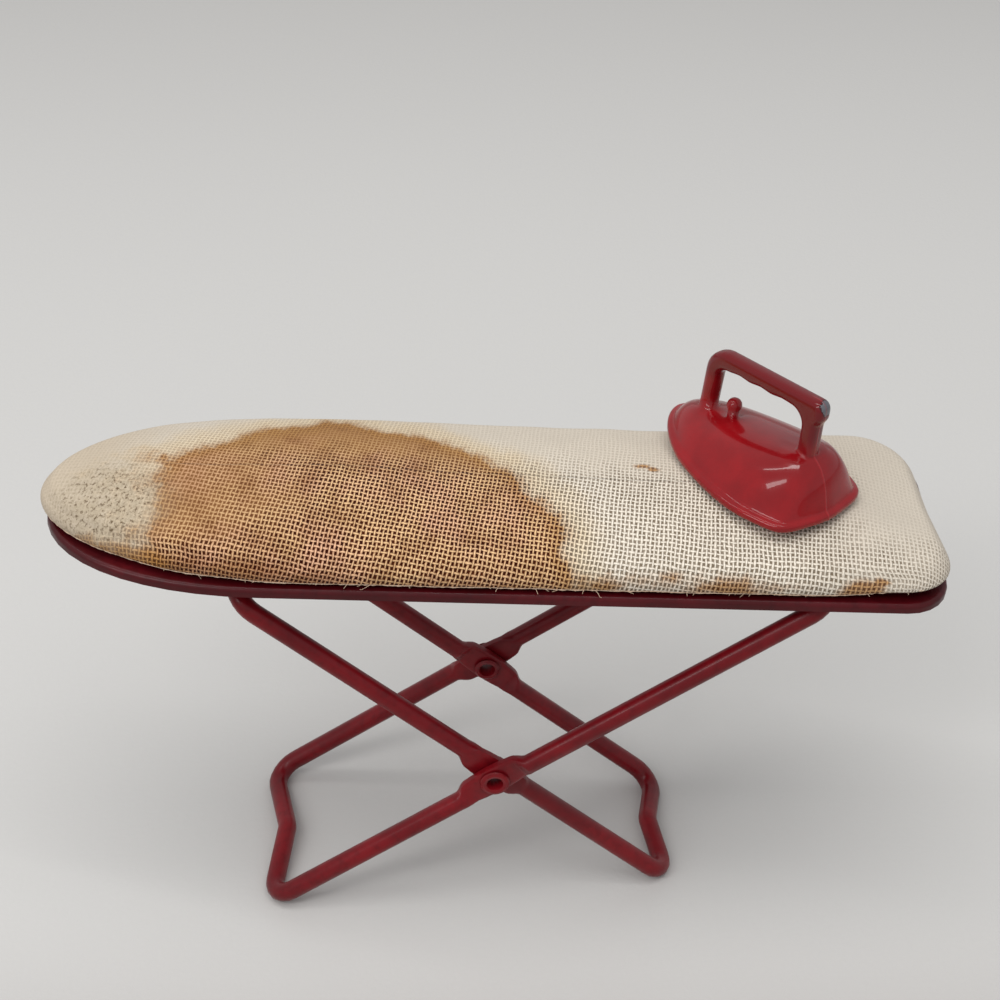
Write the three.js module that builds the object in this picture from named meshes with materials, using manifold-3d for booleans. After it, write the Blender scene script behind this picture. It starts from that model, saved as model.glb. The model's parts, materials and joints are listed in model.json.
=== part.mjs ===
// A doll's house ironing board with its iron: a padded tin tray on a folding wire stand.
// Millimetres, +Z up. The rounded nose of the board points to -X and its square tail to +X.
// The board stands open, leaning a little, as its two pairs of legs differ below the rivets.

import * as THREE from 'three';
import Module from 'manifold-3d';
import { mergeVertices } from 'three/addons/utils/BufferGeometryUtils.js';

// The tin tray: one pressed sheet with a low rolled rim. Its heights start at the rim's edge.
const trayLength = 114;
const trayWidth = 31.5;
const trayNoseLength = 27;
const trayTailRadius = 6;
const trayDepth = 1.3;
const traySheet = 0.5;
const trayRimRadius = 0.65;
const trayFullnessShare = 2.15;

// The pad: a cloth cover drawn over a filling and a card, with its hem turned under. It was
// cut by hand, more pointed at the nose than the tray and slanted at the tail.
const padNoseOverhang = 0.8;
const padTailInset = 1;
const padSideInset = 0.25;
const padNoseLength = 30;
const padTailRadius = 7.5;
const padTailSlant = 2;
const padTailSlantLength = 26;
const padFullnessShare = 1.85;
const padSideHeight = 3.5;
const padCrown = 2.9;
const padHump = 0.9;
const padHumpPlace = -25;
const padHumpSpread = 20;
const clothThickness = 0.45;
const hemInset = 0.5;
const hemWidth = 4;
const cardThickness = 1;
const softGap = 0.3;
const crownPowerShare = 1.8;

// The two wire legs, each bent from one wire into a loop that folds about the leg rivets.
const wireDiameter = 2.6;
const upperArmDifference = 7.3;
const outerLowerArm = 36.9;
const innerLowerArm = 32.4;
const outerLegWidth = 25.5;
const legGap = 0.3;
const legCornerRadius = 3;
const footDip = 2.6;
const footDipRadius = 3;
const footFlat = 0.2;
const openAngle = 38.9;
const foldedAngle = 6.4;

// Where the wires are swaged flat to take the leg rivets.
const swageThickness = 1.2;
const swageWidth = 4.3;
const swageEndWidth = 3.7;
const swageLength = 7.6;
const swageShoulder = 1.7;
const swageSquarenessShare = 5;

// The hollow leg rivets.
const eyeletHeadDiameter = 4;
const eyeletHeadThickness = 0.45;
const eyeletTubeDiameter = 2.5;
const eyeletBore = 2;
const eyeletRollDiameter = 3.5;
const eyeletClearance = 0.2;
const eyeletShoulderShare = 0.75;
const seatGap = 0.2;

// The clip under the tail that the outer leg turns in.
const hingeTailGap = 15;
const hingeDrop = 1.1;
const clipClearance = 0.3;
const clipSheet = 0.5;
const clipWidth = 7;
const clipFootLength = 4;
const clipBendRadius = 0.3;

// The slotted channel under the nose that the inner leg slides in.
const trackSheet = 0.6;
const trackWidth = 4.6;
const trackRim = 0.7;
const trackNoseGap = 0.5;
const slotClearance = 0.3;

// The small rivets that fix the clip and the channel to the tray.
const rivetShank = 1.5;
const rivetHeadDiameter = 2.6;
const rivetHeadHeight = 0.4;
const rivetClearance = 0.15;
const trackRivetNoseGap = 11;
const trackRivetSpacing = 8.5;

// The iron: one casting of a soleplate, a domed body, a handle and a knob.
const ironLength = 28.5;
const ironWidth = 18.4;
const ironLip = 1.2;
const ironRearHeight = 7.9;
const ironFrontHeight = 4.3;
const ironSpineStart = 6;
const ironSpineEnd = 21;
const ironHeelTailGap = 16.2;
const ironHeelY = -8.2;
const ironHeading = 126;

// The iron's handle, seen from the side: places along the iron and heights over its sole.
const handleThickness = 2.4;
const handleEdgeRadius = 0.85;
const handleRear = 4.2;
const handleFront = 24.2;
const handleRearHeight = 16.1;
const handleDrop = 2.6;
const handleBarDepth = 2.5;
const handleRearPost = 2.4;
const handleFrontPost = 2.1;
const handleFrontLean = 0.6;
const handleFrontRadius = 3.6;
const handleRearRadius = 1.2;
const handleGripRadius = 1.9;
const handleKnuckle = 0.6;
const handleKnuckleHeight = 2.5;
const handleRoot = 3;
const gripWaveDepth = 0.25;
const gripWaveCount = 3;

// The knob on the body, under the handle.
const knobPlace = 18.6;
const knobDiameter = 2.1;
const knobRise = 2;
const knobNeckDiameter = 1.5;

// How finely curves are cut.
const arcSteps = 6;
const noseSteps = 24;
const sideSteps = 7;
const wireSides = 16;
const roundSides = 24;
const slotSteps = 10;
const outlineSteps = 2;

// One overrun serves every cut.
const cutOverrun = 2;

const wireRadius = wireDiameter / 2;
const hingePlace = trayLength / 2 - hingeTailGap;

// The stand folds flat within the tray: folded, the inner leg's top wire lies at the nose end
// of its slot, and the two upper arms together reach from there to the hinge.
const slotHalf = wireRadius + slotClearance;
const slotEnd = traySheet + trackNoseGap + trackRim + slotHalf - trayLength / 2;
const slotReach = (hingePlace - slotEnd) / Math.cos(THREE.MathUtils.degToRad(foldedAngle));
const outerUpperArm = (slotReach + upperArmDifference) / 2;
const innerUpperArm = (slotReach - upperArmDifference) / 2;
const tilt = Math.atan(
  ((outerLowerArm - innerLowerArm) / (outerLowerArm + innerLowerArm))
    * Math.tan(THREE.MathUtils.degToRad(openAngle)),
);
const legAngle = THREE.MathUtils.degToRad(openAngle);
const outerFloorAngle = legAngle - tilt;
const innerFloorAngle = legAngle + tilt;

const wasm = await Module();
wasm.setup();

// A closed geometry as a solid that can be joined and cut.
function toSolid(geometry) {
  const bare = geometry.clone();
  bare.deleteAttribute('normal');
  bare.deleteAttribute('uv');
  const merged = mergeVertices(bare);
  return new wasm.Manifold(new wasm.Mesh({
    numProp: 3,
    vertProperties: merged.attributes.position.array,
    triVerts: new Uint32Array(merged.index.array),
  }));
}

// A solid as a geometry again.
function toGeometry(solid) {
  const { vertProperties, triVerts } = solid.getMesh();
  const geometry = new THREE.BufferGeometry();
  geometry.setAttribute('position', new THREE.BufferAttribute(vertProperties, 3));
  geometry.setIndex(new THREE.BufferAttribute(triVerts, 1));
  geometry.computeVertexNormals();
  return geometry;
}

function cut(geometry, ...cutters) {
  return toGeometry(cutters.reduce((solid, cutter) => solid.subtract(toSolid(cutter)), toSolid(geometry)));
}

function join(geometry, ...others) {
  return toGeometry(others.reduce((solid, other) => solid.add(toSolid(other)), toSolid(geometry)));
}

// A grid of points, rows by columns, as a closed surface. The columns always close on each
// other. The rows close too where wrap is set, and otherwise end in points or folded lines.
function gridGeometry(rows, wrap) {
  const columns = rows[0].length;
  const positions = rows.flat().flatMap((point) => [point.x, point.y, point.z]);
  const indices = [];
  const last = wrap ? rows.length : rows.length - 1;
  for (let row = 0; row < last; row += 1) {
    const next = (row + 1) % rows.length;
    for (let column = 0; column < columns; column += 1) {
      const beside = (column + 1) % columns;
      const a = row * columns + column;
      const b = row * columns + beside;
      const c = next * columns + beside;
      const d = next * columns + column;
      indices.push(a, b, c, a, c, d);
    }
  }
  const geometry = new THREE.BufferGeometry();
  geometry.setAttribute('position', new THREE.Float32BufferAttribute(positions, 3));
  geometry.setIndex(indices);
  return withoutSlivers(mergeVertices(geometry));
}

// Drops the triangles that lost a corner when their points were merged.
function withoutSlivers(geometry) {
  const kept = [];
  const { array } = geometry.index;
  for (let i = 0; i < array.length; i += 3) {
    const [a, b, c] = [array[i], array[i + 1], array[i + 2]];
    if (a !== b && b !== c && c !== a) kept.push(a, b, c);
  }
  geometry.setIndex(kept);
  geometry.computeVertexNormals();
  return geometry;
}

// A closed outline with rounded corners. Each corner is [x, y, radius]. Every point comes
// with the direction that points to the right of the way along the outline.
function roundedOutline(corners, steps) {
  const outline = [];
  corners.forEach(([x, y, radius], i) => {
    const here = new THREE.Vector2(x, y);
    const [backX, backY] = corners[(i + corners.length - 1) % corners.length];
    const [aheadX, aheadY] = corners[(i + 1) % corners.length];
    const arriving = here.clone().sub(new THREE.Vector2(backX, backY)).normalize();
    const leaving = new THREE.Vector2(aheadX, aheadY).sub(here).normalize();
    const turn = Math.atan2(arriving.cross(leaving), arriving.dot(leaving));
    if (radius === 0) {
      outline.push({ point: here, right: new THREE.Vector2(leaving.y, -leaving.x) });
      return;
    }
    const setback = radius * Math.tan(Math.abs(turn) / 2);
    const start = here.clone().addScaledVector(arriving, -setback);
    const side = new THREE.Vector2(-arriving.y, arriving.x).multiplyScalar(Math.sign(turn));
    const centre = start.clone().addScaledVector(side, radius);
    for (let step = 0; step <= steps; step += 1) {
      const spoke = start.clone().sub(centre);
      spoke.rotateAround(new THREE.Vector2(), (turn * step) / steps);
      const right = spoke.clone().normalize().multiplyScalar(Math.sign(turn));
      outline.push({ point: centre.clone().add(spoke), right });
    }
  });
  return outline;
}

function roundedShape(corners, steps) {
  return new THREE.Shape(roundedOutline(corners, steps).map(({ point }) => point));
}

// The board's outline: a full rounded nose, straight sides and a square tail.
function boardOutline({ length, width, noseLength, tailRadius, noseEnd, fullnessShare }) {
  const half = width / 2;
  const tail = noseEnd + length;
  const noseBase = noseEnd + noseLength;
  const upper = [];
  for (let step = 0; step <= arcSteps; step += 1) {
    const angle = (Math.PI / 2) * (step / arcSteps);
    upper.push(new THREE.Vector2(
      tail - tailRadius + tailRadius * Math.cos(angle),
      half - tailRadius + tailRadius * Math.sin(angle),
    ));
  }
  for (let step = 1; step < sideSteps; step += 1) {
    const x = THREE.MathUtils.lerp(tail - tailRadius, noseBase, step / sideSteps);
    upper.push(new THREE.Vector2(x, half));
  }
  const power = 2 / fullnessShare;
  for (let step = 0; step < noseSteps / 2; step += 1) {
    const angle = Math.PI * (step / noseSteps);
    upper.push(new THREE.Vector2(
      noseBase - noseLength * Math.sin(angle) ** power,
      half * Math.cos(angle) ** power,
    ));
  }
  const lower = upper.map(({ x, y }) => new THREE.Vector2(x, -y)).reverse();
  return [...upper, new THREE.Vector2(noseEnd, 0), ...lower];
}

// A solid built of rows that follow an outline round. Each row is set in from the outline
// by a length, then drawn by a share of the way toward the spine, a line along the middle.
// The first and last rows lie on the spine, where the two sides meet.
function spineSolid(outline, spineStart, spineEnd, rows) {
  const count = outline.length;
  const inward = outline.map((point, i) => {
    const back = outline[(i + count - 1) % count];
    const ahead = outline[(i + 1) % count];
    const along = ahead.clone().sub(back).normalize();
    return new THREE.Vector2(-along.y, along.x);
  });
  return gridGeometry(rows.map(({ inset, share, height }) => outline.map((point, i) => {
    const spine = new THREE.Vector2(THREE.MathUtils.clamp(point.x, spineStart, spineEnd), 0);
    const place = point.clone().addScaledVector(inward[i], inset).lerp(spine, share);
    return new THREE.Vector3(place.x, place.y, height(place.x, share));
  })), false);
}

const level = (height) => () => height;

// The tin tray
const trayTop = trayDepth;
const trayUnderside = trayDepth - traySheet;
const trayNoseEnd = -trayLength / 2;
const traySpine = [trayNoseEnd + trayWidth / 2, trayLength / 2 - trayWidth / 2];

function trayGeometry() {
  const outline = boardOutline({
    length: trayLength,
    width: trayWidth,
    noseLength: trayNoseLength,
    tailRadius: trayTailRadius,
    noseEnd: trayNoseEnd,
    fullnessShare: trayFullnessShare,
  });
  const rim = [];
  for (let step = 0; step <= arcSteps; step += 1) {
    const angle = (Math.PI / 2) * (step / arcSteps);
    rim.push({
      inset: trayRimRadius * (1 - Math.cos(angle)),
      share: 0,
      height: level(trayTop - trayRimRadius * (1 - Math.sin(angle))),
    });
  }
  return spineSolid(outline, ...traySpine, [
    { inset: traySheet, share: 1, height: level(trayUnderside) },
    { inset: traySheet, share: 0, height: level(trayUnderside) },
    { inset: traySheet, share: 0, height: level(0) },
    { inset: 0, share: 0, height: level(0) },
    ...rim,
    { inset: 0, share: 1, height: level(trayTop) },
  ]);
}

// The pad
const padLength = padNoseOverhang + trayLength - padTailInset;
const padWidth = trayWidth - 2 * padSideInset;
const padFoot = trayTop + softGap;
const padEdge = padFoot + padSideHeight;
const padOutlineSizes = {
  length: padLength,
  width: padWidth,
  noseLength: padNoseLength,
  tailRadius: padTailRadius,
  noseEnd: trayNoseEnd - padNoseOverhang,
  fullnessShare: padFullnessShare,
};
const padSpine = [
  padOutlineSizes.noseEnd + padWidth / 2,
  padOutlineSizes.noseEnd + padLength - padWidth / 2,
];
const cardFoot = padFoot + clothThickness + softGap;
const cardTop = cardFoot + cardThickness;

// How far the side is set in and how high it has risen, from the hem up to the roll.
const padSideShares = [[1, 0], [0.35, 0.16], [0, 0.4], [0.45, 0.66], [1.5, 0.87]];
const padCrownShares = [0.1, 0.2, 0.34, 0.52, 0.75, 1];

function padTop(x, share) {
  const hump = padHump * Math.exp(-(((x - padHumpPlace) / padHumpSpread) ** 2));
  return padEdge + (padCrown + hump) * (1 - (1 - share) ** crownPowerShare);
}

// The rows up the pad's side and over its crown, for a face that lies a depth inside it and
// starts at a height of its own.
function padRows(depth, foot) {
  const places = padSideShares.map(([inset, rise]) => new THREE.Vector2(
    hemInset * inset + depth,
    THREE.MathUtils.lerp(padFoot + depth, padEdge - depth, rise),
  ));
  const [lastInset] = padSideShares.at(-1);
  const reach = [...places, new THREE.Vector2(hemInset * lastInset + depth, padEdge - depth)];
  const first = reach.findIndex((place) => place.y > foot);
  const below = reach[Math.max(first - 1, 0)];
  const above = reach[first];
  const start = below.clone().lerp(above, (foot - below.y) / (above.y - below.y || 1));
  const higher = places.filter((place) => place.y > foot + clothThickness / 4);
  const side = [start, ...higher].map((place) => ({
    inset: place.x,
    share: 0,
    height: level(place.y),
  }));
  const crown = padCrownShares.map((share) => ({
    inset: depth,
    share,
    height: (x) => padTop(x, share) - depth,
  }));
  return [...side, ...crown];
}

// The slant of the pad's tail: its far side is cut back and its near side left longer.
function slanted(geometry) {
  const place = geometry.attributes.position;
  const start = padOutlineSizes.noseEnd + padLength - padTailSlantLength;
  for (let i = 0; i < place.count; i += 1) {
    const ramp = Math.max(place.getX(i) - start, 0) / padTailSlantLength;
    place.setX(i, place.getX(i) - padTailSlant * ramp * (place.getY(i) / (padWidth / 2)));
  }
  return geometry;
}

function coverGeometry() {
  const hemTop = padFoot + clothThickness;
  return spineSolid(boardOutline(padOutlineSizes), ...padSpine, [
    ...padRows(clothThickness, hemTop).reverse(),
    { inset: hemInset + hemWidth, share: 0, height: level(hemTop) },
    { inset: hemInset + hemWidth, share: 0, height: level(padFoot) },
    ...padRows(0, padFoot),
  ]);
}

function fillingGeometry() {
  const foot = cardTop + softGap;
  const depth = clothThickness + softGap;
  return spineSolid(boardOutline(padOutlineSizes), ...padSpine, [
    { inset: hemInset + depth, share: 1, height: level(foot) },
    ...padRows(depth, foot),
  ]);
}

function cardGeometry() {
  const inset = hemInset + clothThickness + softGap;
  return spineSolid(boardOutline(padOutlineSizes), ...padSpine, [
    { inset, share: 1, height: level(cardFoot) },
    { inset, share: 0, height: level(cardFoot) },
    { inset, share: 0, height: level(cardTop) },
    { inset, share: 1, height: level(cardTop) },
  ]);
}

// One leg: a wire loop in its own plane, with the rivets' axis at its origin and its foot
// toward +X. The swaged flats lean to the inside of the outer leg and the outside of the
// inner one, so that their faces meet.
function legGeometry(upperArm, lowerArm, halfWidth, swageSide) {
  const footAngle = Math.atan2(halfWidth, footDip);
  const cornerReach = legCornerRadius * (1 / Math.tan(footAngle / 2) - 1);
  const foot = lowerArm + cornerReach;
  const swageHalf = swageLength / 2;
  const corners = roundedOutline([
    [foot - footDip, 0, footDipRadius],
    [foot, halfWidth, legCornerRadius],
    [-upperArm, halfWidth, legCornerRadius],
    [-upperArm, -halfWidth, legCornerRadius],
    [foot, -halfWidth, legCornerRadius],
  ], arcSteps);
  const stations = corners.map(({ point, right }) => ({ point, right, flat: 0 }));
  const perCorner = arcSteps + 1;
  const shoulderShares = [1, 0.75, 0.5, 0.25, 0];
  const middleShares = [0.67, 0.33, 0, -0.33, -0.67];
  const swage = [
    ...shoulderShares.map((share) => swageHalf + swageShoulder * share),
    ...middleShares.map((share) => swageHalf * share),
    ...[...shoulderShares].reverse().map((share) => -swageHalf - swageShoulder * share),
  ];
  const along = (x, side) => {
    const past = Math.max(Math.abs(x) - swageHalf, 0) / swageShoulder;
    return {
      point: new THREE.Vector2(x, side * halfWidth),
      right: new THREE.Vector2(0, side),
      flat: 1 - THREE.MathUtils.smoothstep(past, 0, 1),
    };
  };
  stations.splice(4 * perCorner, 0, ...[...swage].reverse().map((x) => along(x, -1)));
  stations.splice(2 * perCorner, 0, ...swage.map((x) => along(x, 1)));
  const rows = stations.map(({ point, right, flat }) => {
    const offset = point.x / swageHalf;
    const width = THREE.MathUtils.lerp(swageWidth, swageEndWidth, Math.min(offset ** 2, 1));
    const across = THREE.MathUtils.lerp(wireRadius, swageThickness / 2, flat);
    const high = THREE.MathUtils.lerp(wireRadius, width / 2, flat);
    const power = 2 / THREE.MathUtils.lerp(2, swageSquarenessShare, flat);
    const shift = flat * swageSide * (wireRadius - swageThickness / 2);
    const row = [];
    for (let side = 0; side < wireSides; side += 1) {
      const angle = (2 * Math.PI * side) / wireSides;
      const out = shift + across * Math.sign(Math.cos(angle)) * Math.abs(Math.cos(angle)) ** power;
      const up = high * Math.sign(Math.sin(angle)) * Math.abs(Math.sin(angle)) ** power;
      row.push(new THREE.Vector3(point.x + right.x * out, point.y + right.y * out, up));
    }
    return row.reverse();
  });
  return gridGeometry(rows, true);
}

// The holes for the leg rivets, through both sides of a leg.
function legHole(halfWidth) {
  const radius = eyeletTubeDiameter / 2 + eyeletClearance;
  return new THREE.CylinderGeometry(radius, radius, 2 * (halfWidth + wireDiameter), roundSides);
}

const outerHalfWidth = outerLegWidth / 2;
const innerHalfWidth = outerHalfWidth - wireDiameter - legGap;

// The rivets' axis stands at the height that sets both feet on the floor.
const pivotHeight = outerLowerArm * Math.sin(outerFloorAngle) + wireRadius - footFlat;

// The floor under a leg, as a block in the leg's own place, to cut its feet flat.
function floorBlock(turn) {
  const reach = 2 * (outerUpperArm + outerLowerArm);
  const block = new THREE.BoxGeometry(reach, reach, reach);
  block.translate(0, 0, -pivotHeight - reach / 2);
  return block.rotateY(-turn);
}

const outerTurn = Math.PI - outerFloorAngle;
const innerTurn = innerFloorAngle;

// A hollow leg rivet, turned about Y, with its head outside and its rolled end inside.
function eyeletGeometry() {
  const bore = eyeletBore / 2;
  const tube = eyeletTubeDiameter / 2;
  const head = eyeletHeadDiameter / 2;
  const roll = eyeletRollDiameter / 2;
  const outside = outerHalfWidth - wireRadius + swageThickness + seatGap;
  const inside = innerHalfWidth + wireRadius - swageThickness - seatGap;
  const thick = eyeletHeadThickness;
  const wall = tube - bore;
  return new THREE.LatheGeometry([
    [tube, outside],
    [head - wall / 2, outside],
    [head, outside + thick * (1 - eyeletShoulderShare)],
    [head - wall / 2, outside + thick * eyeletShoulderShare],
    [tube + wall, outside + thick],
    [bore + wall / 2, outside + thick * eyeletShoulderShare],
    [bore, outside],
    [bore, inside],
    [bore + wall / 2, inside - thick * eyeletShoulderShare],
    [tube + wall, inside - thick],
    [roll, inside - thick / 2],
    [roll - wall / 2, inside],
    [tube, inside],
    [tube, outside],
  ].map(([x, y]) => new THREE.Vector2(x, y)), roundSides);
}

// A small solid rivet from one height to another, with a domed head at each end.
function rivetGeometry(low, high) {
  const shank = rivetShank / 2;
  const head = rivetHeadDiameter / 2;
  const domeShares = [[1, 0], [0.94, 0.45], [0.65, 0.85], [0, 1]];
  const top = domeShares.map(([out, up]) => [head * out, high + rivetHeadHeight * up]);
  const bottom = domeShares.map(([out, up]) => [head * out, low - rivetHeadHeight * up]).reverse();
  const profile = [...bottom, [shank, low], [shank, high], ...top];
  const points = profile.map(([x, y]) => new THREE.Vector2(x, y));
  return new THREE.LatheGeometry(points, roundSides).rotateX(Math.PI / 2);
}

function rivetHole(x) {
  const radius = rivetShank / 2 + rivetClearance;
  const hole = new THREE.CylinderGeometry(radius, radius, 2 * cutOverrun, roundSides);
  return hole.rotateX(Math.PI / 2).translate(x, 0, trayUnderside);
}

// The hinge clip: a strap bent under the outer leg's top wire, with a foot on each side.
const clipInner = wireRadius + clipClearance;
const clipOuter = clipInner + clipSheet;
const clipRivetPlaces = [-1, 1].map((side) => hingePlace + side * (clipOuter + clipFootLength / 2));

function clipGeometry() {
  const top = trayUnderside - seatGap;
  const end = clipOuter + clipFootLength;
  const strap = roundedShape([
    [-end, top, 0],
    [-end, top - clipSheet, 0],
    [-clipOuter, top - clipSheet, clipBendRadius],
    [-clipOuter, -hingeDrop - clipOuter, clipOuter],
    [clipOuter, -hingeDrop - clipOuter, clipOuter],
    [clipOuter, top - clipSheet, clipBendRadius],
    [end, top - clipSheet, 0],
    [end, top, 0],
    [clipInner, top, clipBendRadius + clipSheet],
    [clipInner, -hingeDrop - clipInner, clipInner],
    [-clipInner, -hingeDrop - clipInner, clipInner],
    [-clipInner, top, clipBendRadius + clipSheet],
  ], arcSteps);
  const blank = new THREE.ExtrudeGeometry(strap, { depth: clipWidth, bevelEnabled: false });
  blank.rotateX(Math.PI / 2).translate(hingePlace, clipWidth / 2, 0);
  return cut(blank, ...clipRivetPlaces.map(rivetHole));
}

// The slotted channel. The inner leg's top wire follows a curve under the tray as the stand
// folds, because the two legs turn alike about rivets that lie nearer the inner leg's top.
function slotPath() {
  const folded = THREE.MathUtils.degToRad(foldedAngle);
  const path = [];
  for (let step = 0; step <= slotSteps; step += 1) {
    const angle = THREE.MathUtils.lerp(legAngle, folded, step / slotSteps);
    path.push(new THREE.Vector2(
      hingePlace - slotReach * Math.cos(angle),
      -hingeDrop - upperArmDifference * Math.sin(angle),
    ));
  }
  return path;
}

// A band of one width along a path, with round ends.
function bandShape(path, half) {
  const count = path.length - 1;
  const left = path.map((point, i) => {
    const along = path[Math.min(i + 1, count)].clone().sub(path[Math.max(i - 1, 0)]).normalize();
    return new THREE.Vector2(-along.y, along.x);
  });
  const sides = (sign) => path.map((point, i) => point.clone().addScaledVector(left[i], sign * half));
  const end = (centre, start) => {
    const points = [];
    for (let step = 1; step < 2 * arcSteps; step += 1) {
      const spoke = start.clone().multiplyScalar(half);
      spoke.rotateAround(new THREE.Vector2(), (Math.PI * step) / (2 * arcSteps));
      points.push(centre.clone().add(spoke));
    }
    return points;
  };
  return new THREE.Shape([
    ...sides(-1),
    ...end(path[count], left[count].clone().negate()),
    ...sides(1).reverse(),
    ...end(path[0], left[0]),
  ]);
}

// A side view extruded across the board, centred on its middle.
function acrossBoard(shape, width) {
  const solid = new THREE.ExtrudeGeometry(shape, { depth: width, bevelEnabled: false });
  return solid.rotateX(Math.PI / 2).translate(0, width / 2, 0);
}

const trackRivetPlaces = [trackRivetNoseGap + trackRivetSpacing, trackRivetNoseGap].map(
  (gap) => gap - trayLength / 2,
);

function trackGeometry() {
  const path = slotPath();
  const start = path[0];
  const end = path[slotSteps];
  const top = trayUnderside - seatGap;
  const edge = slotHalf + trackRim;
  const web = new THREE.Shape([
    new THREE.Vector2(start.x + edge, top),
    new THREE.Vector2(end.x - edge, top),
    new THREE.Vector2(end.x - edge, end.y),
    ...path.slice(1, -1).reverse(),
    new THREE.Vector2(start.x + edge, start.y),
  ]);
  const blank = join(acrossBoard(web, trackWidth), acrossBoard(bandShape(path, edge), trackWidth));
  const hollow = new THREE.BoxGeometry(slotReach, trackWidth - 2 * trackSheet, slotReach);
  hollow.translate(slotEnd, 0, top - trackSheet - slotReach / 2);
  const slot = acrossBoard(bandShape(path, slotHalf), trackWidth + 2 * cutOverrun);
  return cut(blank, hollow, slot, ...trackRivetPlaces.map(rivetHole));
}

// The iron's outline as shares of its length and half width, from the heel to the nose.
const ironOutlineShares = [
  [0, 0],
  [0.012, 0.3],
  [0.035, 0.55],
  [0.075, 0.74],
  [0.14, 0.87],
  [0.22, 0.955],
  [0.31, 1],
  [0.41, 0.995],
  [0.51, 0.955],
  [0.61, 0.895],
  [0.71, 0.81],
  [0.8, 0.68],
  [0.875, 0.53],
  [0.935, 0.37],
  [0.978, 0.2],
  [1, 0],
];

// How far in toward the middle, and how high between the lip and the ridge, the body rises.
const ironRiseShares = [
  [0.1, 0.015],
  [0.137, 0.105],
  [0.18, 0.265],
  [0.245, 0.46],
  [0.335, 0.65],
  [0.455, 0.81],
  [0.62, 0.925],
  [0.8, 0.985],
  [1, 1],
];

function ironRidge(x) {
  const share = (x - ironSpineStart) / (ironSpineEnd - ironSpineStart);
  return THREE.MathUtils.lerp(ironRearHeight, ironFrontHeight, THREE.MathUtils.clamp(share, 0, 1));
}

function ironBodyGeometry() {
  const upper = ironOutlineShares.map(([along, out]) => new THREE.Vector2(
    ironLength * along,
    (ironWidth / 2) * out,
  ));
  const lower = upper.slice(1, -1).map(({ x, y }) => new THREE.Vector2(x, -y));
  const loop = [...upper.slice().reverse(), ...lower].map(({ x, y }) => new THREE.Vector3(x, y, 0));
  const curve = new THREE.CatmullRomCurve3(loop, true, 'catmullrom');
  const smooth = curve.getPoints(outlineSteps * loop.length).slice(0, -1);
  const outline = smooth.map(({ x, y }) => new THREE.Vector2(x, y));
  const chamfer = ironLip / 4;
  const body = ironRiseShares.map(([share, rise]) => ({
    inset: 0,
    share,
    height: (x) => THREE.MathUtils.lerp(ironLip, ironRidge(x), rise),
  }));
  return spineSolid(outline, ironSpineStart, ironSpineEnd, [
    { inset: 0, share: 1, height: level(0) },
    { inset: chamfer, share: 0, height: level(0) },
    { inset: 0, share: 0, height: level(chamfer) },
    { inset: 0, share: 0, height: level(ironLip - chamfer) },
    { inset: chamfer, share: 0, height: level(ironLip) },
    ...body,
  ]);
}

// The handle's side view: a bar on two posts, with a knuckle at the heel end and shallow
// waves for the fingers beneath. The posts run down into the body.
function handleGeometry() {
  const frontHeight = handleRearHeight - handleDrop;
  const frontTop = handleFront - handleFrontLean;
  const rearInner = handleRear + handleRearPost;
  const frontInner = frontTop - handleFrontPost;
  const slope = -handleDrop / (frontTop - handleRear);
  const underside = (x) => handleRearHeight + slope * (x - handleRear) - handleBarDepth;
  const knuckleFoot = handleRearHeight - handleKnuckleHeight;
  const waves = [];
  const waveLength = (frontInner - rearInner) / (gripWaveCount + 1);
  const gripRadius = Math.min(handleGripRadius, waveLength / 2);
  for (let i = gripWaveCount; i > 0; i -= 1) {
    const peak = rearInner + waveLength * (i + 0.5);
    const hollow = peak - waveLength / 2;
    waves.push([peak, underside(peak), waveLength]);
    waves.push([hollow, underside(hollow) + gripWaveDepth, waveLength]);
  }
  const side = roundedShape([
    [handleRear, handleRoot, 0],
    [rearInner, handleRoot, 0],
    [rearInner, underside(rearInner), gripRadius],
    ...waves.reverse(),
    [frontInner, underside(frontInner), gripRadius],
    [handleFront - handleFrontPost, handleRoot / 2, 0],
    [handleFront, handleRoot / 2, 0],
    [frontTop, frontHeight, handleFrontRadius],
    [handleRear - handleKnuckle, handleRearHeight, handleRearRadius],
    [handleRear - handleKnuckle, knuckleFoot, handleRearRadius],
    [handleRear, knuckleFoot - handleKnuckle * 2, handleRearRadius],
  ], arcSteps);
  const bar = new THREE.ExtrudeGeometry(side, {
    depth: handleThickness - 2 * handleEdgeRadius,
    bevelThickness: handleEdgeRadius,
    bevelSize: handleEdgeRadius,
    bevelOffset: -handleEdgeRadius,
    bevelSegments: 3,
  });
  bar.translate(0, 0, handleEdgeRadius - handleThickness / 2);
  return bar.rotateX(Math.PI / 2);
}

function knobGeometry() {
  const seat = ironRidge(knobPlace);
  const ball = new THREE.SphereGeometry(knobDiameter / 2, roundSides / 2, arcSteps + 2);
  ball.translate(knobPlace, 0, seat + knobRise);
  const neckRadius = knobNeckDiameter / 2;
  const neck = new THREE.CylinderGeometry(neckRadius, neckRadius, 2 * knobRise, roundSides / 2);
  neck.rotateX(Math.PI / 2).translate(knobPlace, 0, seat);
  return { ball, neck };
}

function ironGeometry() {
  const { ball, neck } = knobGeometry();
  return join(ironBodyGeometry(), handleGeometry(), neck, ball);
}

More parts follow.
